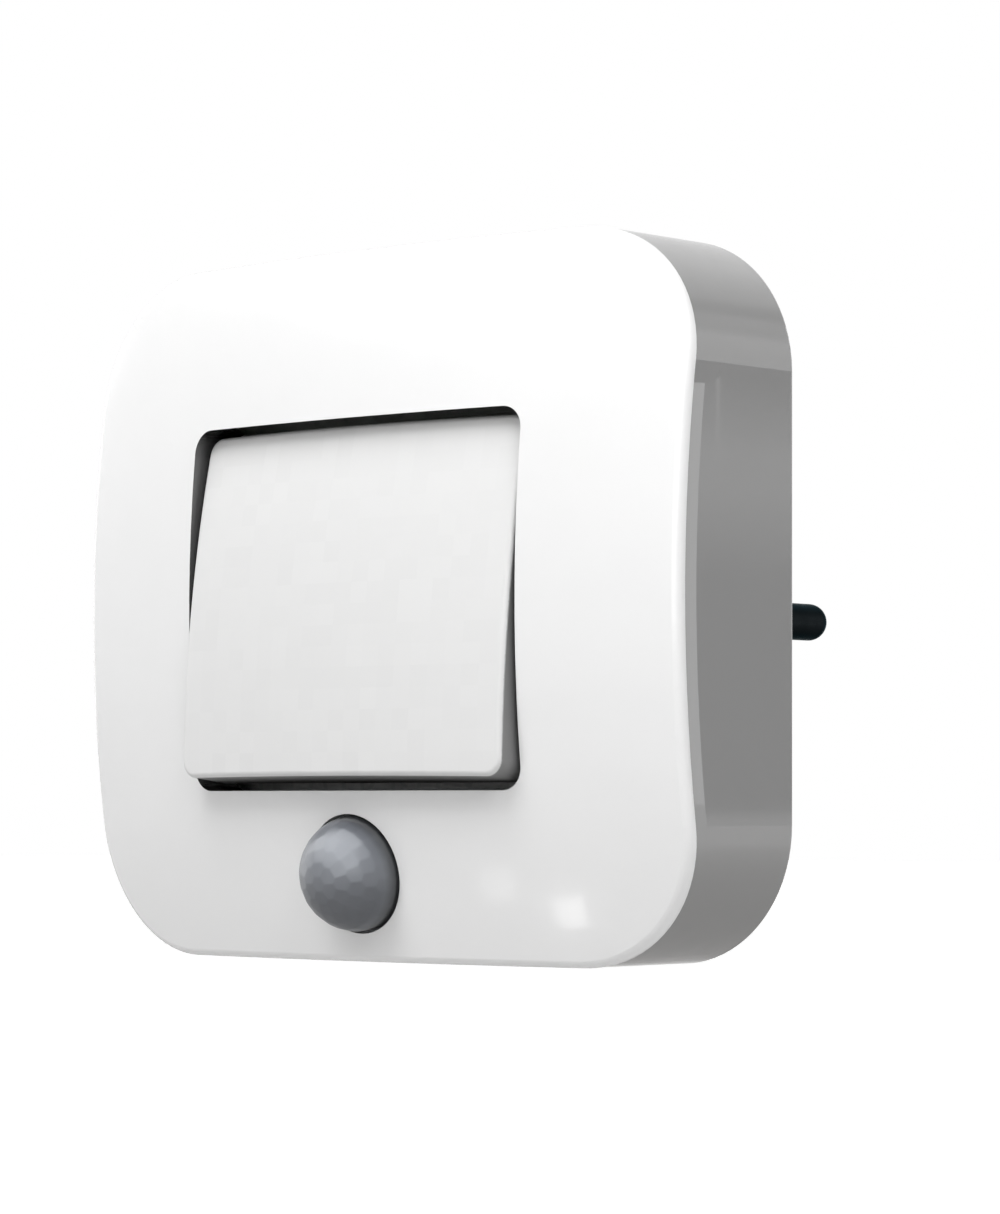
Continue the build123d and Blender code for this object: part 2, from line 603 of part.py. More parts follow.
def front_cover():
    """The white cover with its collar, posts and lens seat."""
    cover = cover_shell() + cover_skirt() + window_collar()
    cover -= bar_across(TRUNNION_RADIUS + TRUNNION_FIT, -BEARING_REACH, BEARING_REACH, AXIS_Y)
    shell_back = behind_front(-COVER_LIP)
    for x, z in four(SCREW_X, SCREW_Z):
        cover += bar(POST_RADIUS, FRONT_Y, TOWER_FRONT, x, z) & shell_back
        pilot_front = BODY_REAR - COUNTERBORE_DEPTH - HOUSING_SCREW_LENGTH
        pilot = HOUSING_SCREW_RADIUS + SNUG_FIT
        cover -= bar(pilot, pilot_front - SCREW_HOLE_GAP, TOWER_FRONT, x, z)
    for x, z in four(LIGHT_POST_X, LIGHT_POST_Z):
        cover += bar(LIGHT_POST_RADIUS, FRONT_Y, LIGHT_FRONT, x, z) & shell_back
        pilot_front = LIGHT_REAR - LIGHT_SCREW_LENGTH - SCREW_HOLE_GAP
        cover -= bar(BOARD_SCREW_RADIUS + SNUG_FIT, pilot_front, LIGHT_FRONT, x, z)
    place = lens_plane().location
    cover -= place * flange_disc(LENS_FLANGE_FIT, COVER_THICKNESS)
    for side in (-1, 1):
        boss = Cylinder(RETAINER_BOSS_RADIUS, FLANGE_REAR - COVER_LIP, align=HIGH)
        pilot_depth = RETAINER_REAR - LENS_SCREW_LENGTH - SCREW_HOLE_GAP
        pilot = Cylinder(LENS_SCREW_RADIUS + SNUG_FIT, FLANGE_REAR - pilot_depth, align=HIGH)
        cover += place * Pos(side * RETAINER_SCREW_X, 0, -COVER_LIP) * boss
        cover -= place * Pos(side * RETAINER_SCREW_X, 0, -pilot_depth) * pilot
    return cover


def pir_lens():
    """A domed lens with a flange that is cut flat above, where the window's collar is."""
    centre = Pos(0, 0, -LENS_SINK)
    inner_radius = LENS_RADIUS - LENS_WALL
    outer = centre * dome(LENS_RADIUS)
    outer += centre * Cylinder(LENS_RADIUS, FLANGE_REAR - LENS_SINK, align=HIGH)
    outer += flange_disc(0, LENS_FLANGE_THICKNESS)
    inner = centre * dome(inner_radius)
    inner += centre * Cylinder(inner_radius, FLANGE_REAR - LENS_SINK, align=HIGH)
    return lens_plane().location * (outer - inner)


def lens_retainer():
    """The plate that presses the lens's flange on its seat."""
    height = RETAINER_TOP - RETAINER_BOTTOM
    middle = (RETAINER_TOP + RETAINER_BOTTOM) / 2
    outline = Pos(0, middle) * RectangleRounded(RETAINER_WIDTH, height, RETAINER_CORNER)
    outline -= Circle(RETAINER_HOLE_RADIUS)
    outline -= [
        Pos(side * RETAINER_SCREW_X, 0) * Circle(LENS_SCREW_RADIUS + SNUG_FIT) for side in (-1, 1)
    ]
    plate = extrude(outline, RETAINER_THICKNESS)
    return lens_plane().location * Pos(0, 0, -RETAINER_REAR) * plate


def lens_retainer_screws():
    """The two screws that hold the retainer."""
    at = lens_plane()
    screws = []
    for side in (-1, 1):
        origin = at.from_local_coords((side * RETAINER_SCREW_X, 0, -RETAINER_REAR))
        seat = Plane(origin=origin, x_dir=(1, 0, 0), z_dir=-at.z_dir)
        screws.append(screw(seat, LENS_SCREW_HEAD, LENS_SCREW_RADIUS, LENS_SCREW_LENGTH))
    return Compound(screws)


# The rocker


def rocker_outline(inset, front, rear):
    """The rocker's outline, drawn in by inset."""
    width = ROCKER_WIDTH - 2 * inset
    return slab(width, ROCKER_HEIGHT - 2 * inset, front, rear, corner=ROCKER_CORNER - inset)


def rocker_diffuser():
    """The translucent plate, with a shallow skirt."""
    cap = rocker_outline(0, ROCKER_Y - 1, AXIS_Y) & behind_front(ROCKER_PROUD)
    cap = fillet(cap.faces().sort_by(Axis.Y)[0].edges(), ROCKER_EDGE_ROUND)
    inside = rocker_outline(CARRIER_WALL, ROCKER_Y - 1, AXIS_Y)
    cap -= inside & behind_front(ROCKER_PROUD - DIFFUSER_THICKNESS)
    cap -= behind_front(ROCKER_PROUD - DIFFUSER_DEPTH)
    return tilted(cap)


def rocker_carrier():
    """The frame under the diffuser, with its trunnions and the plunger's boss."""
    frame = rocker_outline(0, ROCKER_Y, CARRIER_REAR)
    frame -= rocker_outline(CARRIER_WALL, ROCKER_Y - 1, CARRIER_REAR)
    wall_middle = (ROCKER_WIDTH - CARRIER_WALL) / 2
    web_width = wall_middle - SWITCH_X
    boss_front = SPRING_TOP - SPRING_FLOOR
    frame += bar(BOSS_RADIUS, boss_front, CARRIER_REAR, x=SWITCH_X)
    frame += slab(web_width, BOSS_RADIUS, boss_front, CARRIER_REAR, x=SWITCH_X + web_width / 2)
    frame &= behind_front(ROCKER_PROUD - DIFFUSER_DEPTH)
    trunnion_end = BEARING_REACH - TRUNNION_END_GAP
    frame += bar_across(TRUNNION_RADIUS, wall_middle, trunnion_end, AXIS_Y)
    frame += bar_across(TRUNNION_RADIUS, -trunnion_end, -wall_middle, AXIS_Y)
    frame -= bar(PLUNGER_BORE, SPRING_TOP, CARRIER_REAR, x=SWITCH_X)
    return tilted(frame)


def plunger():
    """A round-nosed pin that pushes on the see-saw."""
    body = bar(PLUNGER_RADIUS, PLUNGER_BASE, PLUNGER_TIP, x=SWITCH_X)
    return tilted(fillet(body.faces().sort_by(Axis.Y)[-1].edges(), PLUNGER_NOSE))


def plunger_spring():
    """The coil spring between the boss's floor and the plunger."""
    room = SPRING_ROOM - 2 * SPRING_WIRE - 2 * PLUNGER_FIT
    coil = Helix(room / SPRING_TURNS, room, SPRING_RADIUS - SPRING_WIRE)
    section = Plane(origin=coil @ 0, z_dir=coil % 0) * Circle(SPRING_WIRE)
    spring = sweep(section, coil)
    start = SPRING_TOP + SPRING_WIRE + PLUNGER_FIT
    return tilted(facing_rear(SWITCH_X, start, 0).location * spring)


# The see-saw contact


def seesaw_contact():
    """The strip that rocks on the ridge, tilted the other way from the rocker."""
    outline = RectangleRounded(CONTACT_WIDTH, CONTACT_LENGTH, CONTACT_CORNER)
    strip = extrude(outline, CONTACT_THICKNESS)
    strip = facing_front(SWITCH_X, CONTACT_REAR, 0).location * strip
    return strip.rotate(Axis((0, RIDGE_Y, 0), (1, 0, 0)), ROCKER_TILT)


def switch_base():
    """The insulating base, with two cheeks that keep the see-saw in place."""
    base = slab(SWITCH_BASE_WIDTH, SWITCH_BASE_LENGTH, BASE_FRONT, LIGHT_FRONT, x=SWITCH_X)
    cheek_offset = (SWITCH_BASE_WIDTH - SWITCH_CHEEK) / 2
    for side in (-1, 1):
        base += slab(
            SWITCH_CHEEK,
            CONTACT_LENGTH,
            BASE_FRONT - CHEEK_HEIGHT,
            BASE_FRONT,
            x=SWITCH_X + side * cheek_offset,
        )
    base -= pivot_leg(SNUG_FIT, BASE_FRONT, LIGHT_FRONT)
    for z in contact_pads():
        base -= bar(PAD_RADIUS / 2 + SNUG_FIT, BASE_FRONT, LIGHT_FRONT, x=SWITCH_X, z=z)
    return base


def contact_pads():
    """Where the two end contacts are, up and down from the ridge."""
    reach = CONTACT_LENGTH / 2 - PAD_RADIUS
    return (-reach, reach)


def leg_rear():
    """How far a leg reaches behind the light board."""
    return LIGHT_REAR + LEAD_TAIL


def pivot_leg(gap, front, rear):
    """The pivot terminal's flat leg between two places along Y, made larger by gap."""
    return slab(CONTACT_WIDTH + 2 * gap, LEG_THICKNESS + 2 * gap, front, rear, x=SWITCH_X)


def pivot_terminal():
    """The blade with a round ridge, and its leg through the base and the board."""
    half = CONTACT_WIDTH / 2
    ridge = bar_across(RIDGE_RADIUS, SWITCH_X - half, SWITCH_X + half, RIDGE_Y)
    return ridge + pivot_leg(0, RIDGE_Y, leg_rear())


def end_terminals():
    """Two rivets under the ends of the see-saw, which one end or the other touches."""
    rivets = []
    for z in contact_pads():
        head = bar(PAD_RADIUS, PAD_FACE, BASE_FRONT, x=SWITCH_X, z=z)
        rivets.append(head + bar(PAD_RADIUS / 2, BASE_FRONT, leg_rear(), x=SWITCH_X, z=z))
    return Compound(rivets)


# The light board and what is on it


def emitter_places():
    """The middles of the light emitters."""
    return [
        (
            EMITTER_CENTRE_X + (column - (EMITTER_COLUMNS - 1) / 2) * EMITTER_SPACING_X,
            (row - (EMITTER_ROWS - 1) / 2) * EMITTER_SPACING_Z,
        )
        for column in range(EMITTER_COLUMNS)
        for row in range(EMITTER_ROWS)
    ]


def sensor_z():
    """The motion sensor's height, on the lens's axis at the sensor's front."""
    lean = math.asin(LENS_Z / BARREL_UPRIGHT)
    return LENS_Z + (SENSOR_FRONT - front_surface_y(LENS_Z)) * math.tan(-lean)


def sensor_leads():
    """The places of the motion sensor's three leads."""
    return [
        (
            SENSOR_LEAD_CIRCLE * math.cos(math.radians(turn)),
            sensor_z() + SENSOR_LEAD_CIRCLE * math.sin(math.radians(turn)),
        )
        for turn in SENSOR_LEAD_TURNS
    ]


def light_board():
    """The front board, screwed to the cover's posts."""
    height = LIGHT_BOARD_TOP - LIGHT_BOARD_BOTTOM
    middle = (LIGHT_BOARD_TOP + LIGHT_BOARD_BOTTOM) / 2
    board = slab(
        LIGHT_BOARD_WIDTH, height, LIGHT_FRONT, LIGHT_REAR, z=middle, corner=BOARD_CORNER
    )
    for x, z in four(LIGHT_POST_X, LIGHT_POST_Z):
        board -= bar(BOARD_SCREW_RADIUS + SCREW_HOLE_GAP, LIGHT_FRONT, LIGHT_REAR, x, z)
    for x, z in sensor_leads():
        board -= bar(SENSOR_LEAD_RADIUS + LEAD_HOLE_GAP, LIGHT_FRONT, LIGHT_REAR, x, z)
    board -= pivot_leg(SLOT_GAP, LIGHT_FRONT, LIGHT_REAR)
    for z in contact_pads():
        board -= bar(PAD_RADIUS / 2 + LEAD_HOLE_GAP, LIGHT_FRONT, LIGHT_REAR, x=SWITCH_X, z=z)
    return board - header_holes(LIGHT_FRONT, LIGHT_REAR)


def light_board_screws():
    """The four screws of the light board."""
    return Compound(
        [
            screw(facing_rear(x, LIGHT_REAR, z), BOARD_SCREW_HEAD, BOARD_SCREW_RADIUS, LIGHT_SCREW_LENGTH)
            for x, z in four(LIGHT_POST_X, LIGHT_POST_Z)
        ]
    )


def light_emitters():
    """The emitters, each a flat package with a round dish in its face."""
    emitters = []
    face = LIGHT_FRONT - EMITTER_THICKNESS
    for x, z in emitter_places():
        package = slab(EMITTER_WIDTH, EMITTER_HEIGHT, face, LIGHT_FRONT, x, z)
        emitters.append(package - bar(EMITTER_DISH_RADIUS, face, face + EMITTER_DISH_DEPTH, x, z))
    return Compound(emitters)


def light_sensor():
    """The day and night sensor, a small round-topped can between the emitters."""
    face = LIGHT_FRONT - LIGHT_SENSOR_HEIGHT
    body = bar(LIGHT_SENSOR_RADIUS, face, LIGHT_FRONT, x=EMITTER_CENTRE_X)
    return fillet(body.faces().sort_by(Axis.Y)[0].edges(), LIGHT_SENSOR_ROUND)


def tray_outline(inset):
    """The tray's outline, with a notch for the switch, drawn in by inset."""
    notch_half = SWITCH_BASE_LENGTH / 2 + NOTCH_MARGIN
    outline = Rectangle(TRAY_WIDTH - 2 * inset, TRAY_LENGTH - 2 * inset)
    notch = Rectangle(TRAY_WIDTH, 2 * (notch_half + inset), align=(Align.MIN, CENTRE))
    return outline - Pos(TRAY_NOTCH_X - inset, 0) * notch


def reflector_tray():
    """A shallow white tray around the emitters, open to the front."""
    tray = extrude(tray_outline(0), TRAY_HEIGHT)
    tray -= Pos(0, 0, TRAY_FLOOR) * extrude(tray_outline(TRAY_WALL), TRAY_HEIGHT)
    tray = facing_front(0, LIGHT_FRONT, 0).location * tray
    hole_width = EMITTER_WIDTH + 2 * PART_CLEARANCE
    hole_height = EMITTER_HEIGHT + 2 * PART_CLEARANCE
    for x, z in emitter_places():
        tray -= slab(hole_width, hole_height, LIGHT_FRONT - TRAY_FLOOR, LIGHT_FRONT, x, z)
    hole = LIGHT_SENSOR_RADIUS + PART_CLEARANCE
    return tray - bar(hole, LIGHT_FRONT - TRAY_FLOOR, LIGHT_FRONT, x=EMITTER_CENTRE_X)


def pir_spacer():
    """The spacer ring under the motion sensor."""
    spacer = bar(SPACER_RADIUS, SPACER_FRONT, LIGHT_FRONT, z=sensor_z())
    for x, z in sensor_leads():
        spacer -= bar(SENSOR_LEAD_RADIUS + LEAD_HOLE_GAP, SPACER_FRONT, LIGHT_FRONT, x, z)
    return spacer


def sensor_window(gap):
    """The shape of the can's window, made smaller by gap all round."""
    width = SENSOR_WINDOW_WIDTH - 2 * gap
    height = SENSOR_WINDOW_HEIGHT - 2 * gap
    rear = SENSOR_FRONT + SENSOR_WINDOW_DEPTH
    return slab(width, height, SENSOR_FRONT, rear, z=sensor_z())


def pir_sensor():
    """The motion sensor's can, with its flange, leads and a recess for the filter."""
    z = sensor_z()
    can = bar(SENSOR_RADIUS, SENSOR_FRONT, SPACER_FRONT, z=z)
    can = fillet(can.faces().sort_by(Axis.Y)[0].edges(), SENSOR_FLANGE_THICKNESS)
    can += bar(SENSOR_FLANGE_RADIUS, SPACER_FRONT - SENSOR_FLANGE_THICKNESS, SPACER_FRONT, z=z)
    can -= sensor_window(0)
    for x, lead_z in sensor_leads():
        can += bar(SENSOR_LEAD_RADIUS, SPACER_FRONT, leg_rear(), x, lead_z)
    return can


def pir_filter():
    """The dark filter in the can's window."""
    return sensor_window(SNUG_FIT)


# The main board and what is on it


def header_places():
    """The header's pins, one above the other."""
    return [(pin_index - (HEADER_PINS - 1) / 2) * HEADER_SPACING for pin_index in range(HEADER_PINS)]


def header_holes(front, rear):
    """The holes for the header's pins in a board between front and rear."""
    across = math.hypot(HEADER_PIN, HEADER_PIN) / 2 + LEAD_HOLE_GAP
    return [bar(across, front, rear, x=HEADER_X, z=z) for z in header_places()]


def board_header():
    """The pins and their block, between the two boards."""
    block = slab(HEADER_WIDTH, HEADER_PINS * HEADER_SPACING, LIGHT_REAR, BOARD_FRONT, x=HEADER_X)
    pin_front = LIGHT_FRONT - LEAD_TAIL
    pin_rear = BOARD_REAR + LEAD_TAIL
    for z in header_places():
        block += slab(HEADER_PIN, HEADER_PIN, pin_front, pin_rear, x=HEADER_X, z=z)
    return block


def main_board():
    """The power supply board, on the housing's standoffs."""
    board = slab(MAIN_BOARD_WIDTH, MAIN_BOARD_HEIGHT, BOARD_FRONT, BOARD_REAR, corner=BOARD_CORNER)
    for x, z in four(MAIN_POST_X, MAIN_POST_Z):
        board -= bar(BOARD_SCREW_RADIUS + SCREW_HOLE_GAP, BOARD_FRONT, BOARD_REAR, x, z)
    for side in (-1, 1):
        slot_width = TERMINAL_THICKNESS + 2 * SLOT_GAP
        slot_height = TERMINAL_WIDTH + 2 * SLOT_GAP
        board -= slab(slot_width, slot_height, BOARD_FRONT, BOARD_REAR, x=terminal_leg_x(side))
    return board - header_holes(BOARD_FRONT, BOARD_REAR)


def main_board_screws():
    """The four screws of the main board."""
    return Compound(
        [
            screw(facing_front(x, BOARD_FRONT, z), BOARD_SCREW_HEAD, BOARD_SCREW_RADIUS, MAIN_SCREW_LENGTH)
            for x, z in four(MAIN_POST_X, MAIN_POST_Z)
        ]
    )


def boxed_part(size, place):
    """A box-shaped part that stands on the main board's rear face."""
    width, height, depth = size
    return slab(width, depth, BOARD_REAR, BOARD_REAR + height, *place)


def film_capacitor():
    """The mains capacitor, a box with rounded edges."""
    box = boxed_part(FILM_CAPACITOR_SIZE, FILM_CAPACITOR_PLACE)
    return fillet(box.faces().sort_by(Axis.Y)[-1].edges(), PACKAGE_EDGE)


def electrolytic_capacitor():
    """The smoothing capacitor, with the groove around its foot."""
    x, z = CAPACITOR_PLACE
    can = bar(CAPACITOR_RADIUS, BOARD_REAR, BOARD_REAR + CAPACITOR_HEIGHT, x, z)
    can = fillet(can.faces().sort_by(Axis.Y)[-1].edges(), 2 * CAPACITOR_GROOVE)
    groove_front = BOARD_REAR + CAPACITOR_FOOT
    groove = (groove_front, groove_front + 2 * CAPACITOR_GROOVE, x, z)
    ring = bar(CAPACITOR_RADIUS, *groove) - bar(CAPACITOR_RADIUS - CAPACITOR_GROOVE, *groove)
    return can - ring


def bridge_rectifier():
    """The rectifier's package."""
    box = boxed_part(RECTIFIER_SIZE, RECTIFIER_PLACE)
    return chamfer(box.faces().sort_by(Axis.Y)[-1].edges(), PACKAGE_EDGE)


def fuse_resistor():
    """The fusible resistor, lying above the board on two bent leads."""
    x, z = RESISTOR_PLACE
    y = BOARD_REAR + RESISTOR_HEIGHT
    half = RESISTOR_LENGTH / 2
    body = bar_across(RESISTOR_RADIUS, x - half, x + half, y, z)
    body = fillet(body.edges().filter_by(GeomType.CIRCLE), 2 * PACKAGE_EDGE)
    reach = half + 2 * LEAD_RADIUS
    body += bar_across(LEAD_RADIUS, x - reach, x + reach, y, z)
    for side in (-1, 1):
        body += bar(LEAD_RADIUS, BOARD_REAR, y, x + side * reach, z)
        body += Pos(x + side * reach, y, z) * Sphere(LEAD_RADIUS)
    return body


def varistor():
    """The surge disc, standing on two leads."""
    x, z = VARISTOR_PLACE
    half = VARISTOR_THICKNESS / 2
    y = BOARD_REAR + VARISTOR_LIFT + VARISTOR_RADIUS
    disc = bar_across(VARISTOR_RADIUS, x - half, x + half, y, z)
    disc = fillet(disc.edges().filter_by(GeomType.CIRCLE), half / 2)
    for side in (-1, 1):
        disc += bar(LEAD_RADIUS, BOARD_REAR, y, x, z + side * VARISTOR_RADIUS / 2)
    return disc


def controller_chip():
    """The controller on the main board's front face, with its leads."""
    width, thickness, height = CHIP_SIZE
    x, z = CHIP_PLACE
    face = BOARD_FRONT - CHIP_LIFT - thickness
    chip = slab(width, height, face, BOARD_FRONT - CHIP_LIFT, x, z)
    chip = chamfer(chip.faces().sort_by(Axis.Y)[0].edges(), PACKAGE_EDGE)
    shoulder = face + thickness / 2
    span = width + 2 * CHIP_LEAD_REACH
    for lead in range(CHIP_LEADS):
        lead_z = z + (lead - (CHIP_LEADS - 1) / 2) * CHIP_LEAD_SPACING
        chip += slab(span, CHIP_LEAD, shoulder, shoulder + CHIP_LEAD, x, lead_z)
        for side in (-1, 1):
            foot_x = x + side * (span - CHIP_LEAD) / 2
            chip += slab(CHIP_LEAD, CHIP_LEAD, shoulder, BOARD_FRONT, foot_x, lead_z)
    return chip


def housing_screws():
    """The four screws that hold the cover to the housing, from the rear."""
    seat = BODY_REAR - COUNTERBORE_DEPTH
    return Compound(
        [
            screw(facing_rear(x, seat, z), HOUSING_SCREW_HEAD, HOUSING_SCREW_RADIUS, HOUSING_SCREW_LENGTH)
            for x, z in four(SCREW_X, SCREW_Z)
        ]
    )


NODES = {
    "rear_housing": rear_housing,
    "front_cover": front_cover,
    "housing_screws": housing_screws,
    "pin_left": lambda: pin(-1),
    "pin_right": lambda: pin(1),
    "pin_sleeves": pin_sleeves,
    "pin_clamp": pin_clamp,
    "pin_clamp_screw": pin_clamp_screw,
    "pin_terminals": pin_terminals,
    "main_board": main_board,
    "main_board_screws": main_board_screws,
    "film_capacitor": film_capacitor,
    "electrolytic_capacitor": electrolytic_capacitor,
    "bridge_rectifier": bridge_rectifier,
    "fuse_resistor": fuse_resistor,
    "varistor": varistor,
    "controller_chip": controller_chip,
    "board_header": board_header,
    "light_board": light_board,
    "light_board_screws": light_board_screws,
    "light_emitters": light_emitters,
    "light_sensor": light_sensor,
    "reflector_tray": reflector_tray,
    "pir_lens": pir_lens,
    "lens_retainer": lens_retainer,
    "lens_retainer_screws": lens_retainer_screws,
    "pir_spacer": pir_spacer,
    "pir_sensor": pir_sensor,
    "pir_filter": pir_filter,
    "rocker_diffuser": rocker_diffuser,
    "rocker_carrier": rocker_carrier,
    "plunger": plunger,
    "plunger_spring": plunger_spring,
    "switch_base": switch_base,
    "pivot_terminal": pivot_terminal,
    "end_terminals": end_terminals,
    "seesaw_contact": seesaw_contact,
}

os.makedirs("parts", exist_ok=True)
for name, build in NODES.items():
    export_step(build(), f"parts/{name}.step")
print(f"front at Y {FRONT_Y:.3f}, rocker axis at Y {AXIS_Y:.3f}, see-saw ridge at Y {RIDGE_Y:.3f}")
print(f"light board from Y {LIGHT_FRONT:.3f} to {LIGHT_REAR:.3f}, main board to {BOARD_FRONT:.3f}")
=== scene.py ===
import json
import math

import bmesh
import bpy
from mathutils import Matrix, Vector

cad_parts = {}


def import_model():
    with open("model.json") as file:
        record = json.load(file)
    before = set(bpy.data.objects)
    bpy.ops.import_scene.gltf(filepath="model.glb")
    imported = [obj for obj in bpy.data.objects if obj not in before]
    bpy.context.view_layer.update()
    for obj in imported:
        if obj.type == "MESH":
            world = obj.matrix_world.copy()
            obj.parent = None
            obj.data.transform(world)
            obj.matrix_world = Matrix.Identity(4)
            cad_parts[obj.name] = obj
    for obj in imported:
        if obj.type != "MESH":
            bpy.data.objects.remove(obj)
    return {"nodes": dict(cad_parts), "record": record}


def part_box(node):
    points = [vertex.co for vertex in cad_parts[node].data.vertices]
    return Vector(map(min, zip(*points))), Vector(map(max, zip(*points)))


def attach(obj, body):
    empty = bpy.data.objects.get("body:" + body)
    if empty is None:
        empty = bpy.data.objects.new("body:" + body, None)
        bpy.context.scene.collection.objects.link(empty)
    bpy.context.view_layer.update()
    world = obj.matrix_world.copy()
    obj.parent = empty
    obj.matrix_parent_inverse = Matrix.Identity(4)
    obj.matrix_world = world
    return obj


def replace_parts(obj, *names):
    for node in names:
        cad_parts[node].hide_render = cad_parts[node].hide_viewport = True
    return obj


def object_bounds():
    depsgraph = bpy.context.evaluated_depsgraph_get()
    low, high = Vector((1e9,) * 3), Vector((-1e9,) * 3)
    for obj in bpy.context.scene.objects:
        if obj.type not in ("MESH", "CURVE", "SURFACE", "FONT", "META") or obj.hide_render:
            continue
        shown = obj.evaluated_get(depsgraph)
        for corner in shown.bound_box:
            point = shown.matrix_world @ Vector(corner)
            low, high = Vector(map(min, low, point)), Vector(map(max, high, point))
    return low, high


# The looks of a plug in night light, in metres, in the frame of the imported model: the front faces -Y,
# the pins point along +Y, +X is to the right and +Z is up.

MM = 0.001

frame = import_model()
cad_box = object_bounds()

# The picture: its size in pixels, and where the camera's axis meets it
PICTURE_WIDTH = 1000
PICTURE_HEIGHT = 1214
AXIS_COLUMN = 470.46
AXIS_ROW = 802.38
FOCAL_PIXELS = 4138.3
SENSOR_WIDTH = 36.0
CAMERA_AZIMUTH = 41.738
CAMERA_PLACE = (0.28262, -0.34477, -0.01966)

# The lens of the motion sensor: a ball's end, with the ball's middle sunk behind the cover's face
LENS_RADIUS = 5.82 * MM
LENS_SINK = 0.55 * MM
LENS_WALL = 0.6 * MM
LENS_TILT = math.radians(10.05)
LENS_OUTWARDS = Vector((0.0, -math.cos(LENS_TILT), -math.sin(LENS_TILT)))
DOME_CROWN = max((vertex.co for vertex in frame["nodes"]["pir_lens"].data.vertices), key=LENS_OUTWARDS.dot)
DOME_MIDDLE = Vector((0.0, DOME_CROWN.y, DOME_CROWN.z)) - LENS_RADIUS * LENS_OUTWARDS
# Its flange, front and rear measured from the cover's face, and the heights of its two flats
FLANGE_FRONT = 1.9 * MM
FLANGE_REAR = 2.8 * MM
FLANGE_RADIUS = 7.4 * MM
FLANGE_TOP = 6.15 * MM
FLANGE_BOTTOM = -6.5 * MM
# Its facets: the angle between them, and how much of their flatness shows
FACET_ANGLE = math.radians(14)
FACET_RINGS = 6
FACET_DISTANCE = 0.988 * LENS_RADIUS
FACET_SHARE = 0.6
DOME_STEPS = 168
DOME_LEVELS = 60
SHARP_ANGLE = math.radians(40)
# Painted shade in a ring around its foot, from black to milky
FOOT_SHADE_START = 0.5 * MM
FOOT_SHADE_END = 1.4 * MM

# The cover's window, with a rim to spare, and the greys painted as shade on its upright and level walls
WINDOW_HALF_WIDTH = 23.0 * MM
WINDOW_HALF_HEIGHT = 19.3 * MM
UPRIGHT_WALL_SHADE = (0.10, 0.10, 0.10)
LEVEL_WALL_SHADE = (0.025, 0.025, 0.025)

# The rocker: the squares in its face, and the grey painted as shade on its skirt, also used for its frame
PRISM_SIZE = 2.1 * MM
SKIRT_SHADE_AND_FRAME_GREY = (0.20, 0.20, 0.20)

# The dish in each emitter, and its domed filling
DISH_RADIUS = 1.1 * MM
DISH_DEPTH = 0.15 * MM
DISH_REACH = 3 * DISH_RADIUS
FILL_RADIUS = 0.96 * DISH_RADIUS
FILL_RISE = 0.85 * DISH_DEPTH
FILL_STEPS = 24
FILL_LEVELS = 4
HAIR = 0.01 * MM

# The studio
LAMP_DISTANCE = 1.3
LAMP_TARGET = Vector((0.0, -0.035, 0.0))
AMBIENT = 0.085
FLOOR_DROP = 0.25
FLOOR_SIZE = 30.0
# The floor's glow for the camera, and where it is mirrored, growing between two distances from the light
FLOOR_GLOW = 0.85
FAR_GLOW = 0.8
FAR_FROM, FAR_TO = 0.35, 1.7
# The studio in front, which surfaces mirror as white, ends a little behind the light: the least of a
# direction's part towards the front
FRONT_END = -0.3
# What the polished sides mirror of the studio behind: grey levels by the roll about Y, in degrees from +X,
# first for the flat sides and then for the corners
SIDE_LEVELS = (
    (-2, 0.75), (-0.4, 0.7), (-0.15, 0.36), (0.1, 0.31),
    (5.0, 0.31), (7.0, 0.7), (7.8, 0.7), (9.4, 0.29),
)
CORNER_LEVELS = (
    (12, 0.95), (31, 0.97), (38, 0.62), (48, 0.6),
    (54, 0.35), (60, 0.38), (66, 0.6), (100, 0.85),
)
CORNER_START = 9.8
# Bright panels to mirror: azimuth and half the width, elevation and half the height, in degrees, and level.
# The first is for the bevel beside the cover, the second a hairline on the flat side next to it, and the
# others are mostly for the lens.
PANELS = (
    ((133, 4.5), (2.5, 4.0), 1.4),
    ((141.69, 0.03), (5.3, 0.55), 0.75),
    ((-30, 80), (50, 28), 2.9),
    ((18, 30), (4, 20), 2.5),
    ((-92, 20), (10, 25), 1.8),
    ((-4, 6), (4, 7), 2.6),
)


# Materials


def arithmetic(tree, operation, *values):
    """A maths node on numbers and other nodes' outputs."""
    node = tree.nodes.new("ShaderNodeMath")
    node.operation = operation
    for socket, value in zip(node.inputs, values):
        if isinstance(value, (int, float)):
            socket.default_value = value
        else:
            tree.links.new(value, socket)
    return node.outputs[0]


